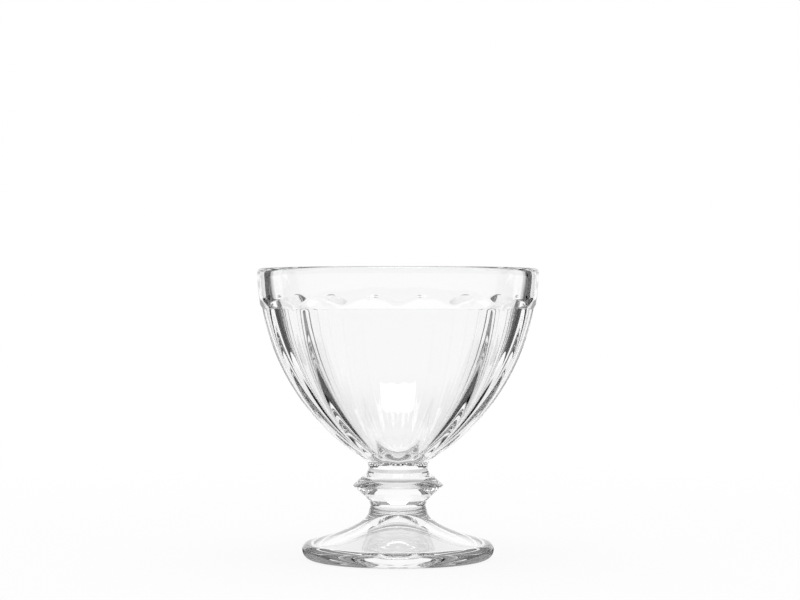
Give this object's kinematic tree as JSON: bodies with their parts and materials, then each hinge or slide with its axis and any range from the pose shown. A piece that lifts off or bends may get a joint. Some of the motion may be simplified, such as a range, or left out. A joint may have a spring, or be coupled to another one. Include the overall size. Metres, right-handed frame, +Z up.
{
  "type": "ice cream glass",
  "caption": "Clear footed ice cream glass: a wide fluted bowl with a plain rim band, a short stem with a double-cone knop, and a flared hollow foot that stands on a ring.",
  "frame": {"origin": "middle of the ring that the foot stands on, on the standing surface", "axes": "+Z up along the glass's own axis, from the foot to the rim; -Y is the front, where one rib between two flutes faces the viewer"},
  "size_m": [0.1, 0.1, 0.103],
  "materials": {
    "bowl_glass": "clear colourless pressed soda-lime glass, fire-polished",
    "stem_glass": "clear colourless solid glass, fire-polished",
    "foot_glass": "clear colourless pressed soda-lime glass, fire-polished"
  },
  "bodies": {
    "root": {"bowl": "bowl_glass", "upper_collar": "stem_glass", "knop": "stem_glass", "lower_collar": "stem_glass", "foot": "foot_glass"}
  },
  "joints": []
}
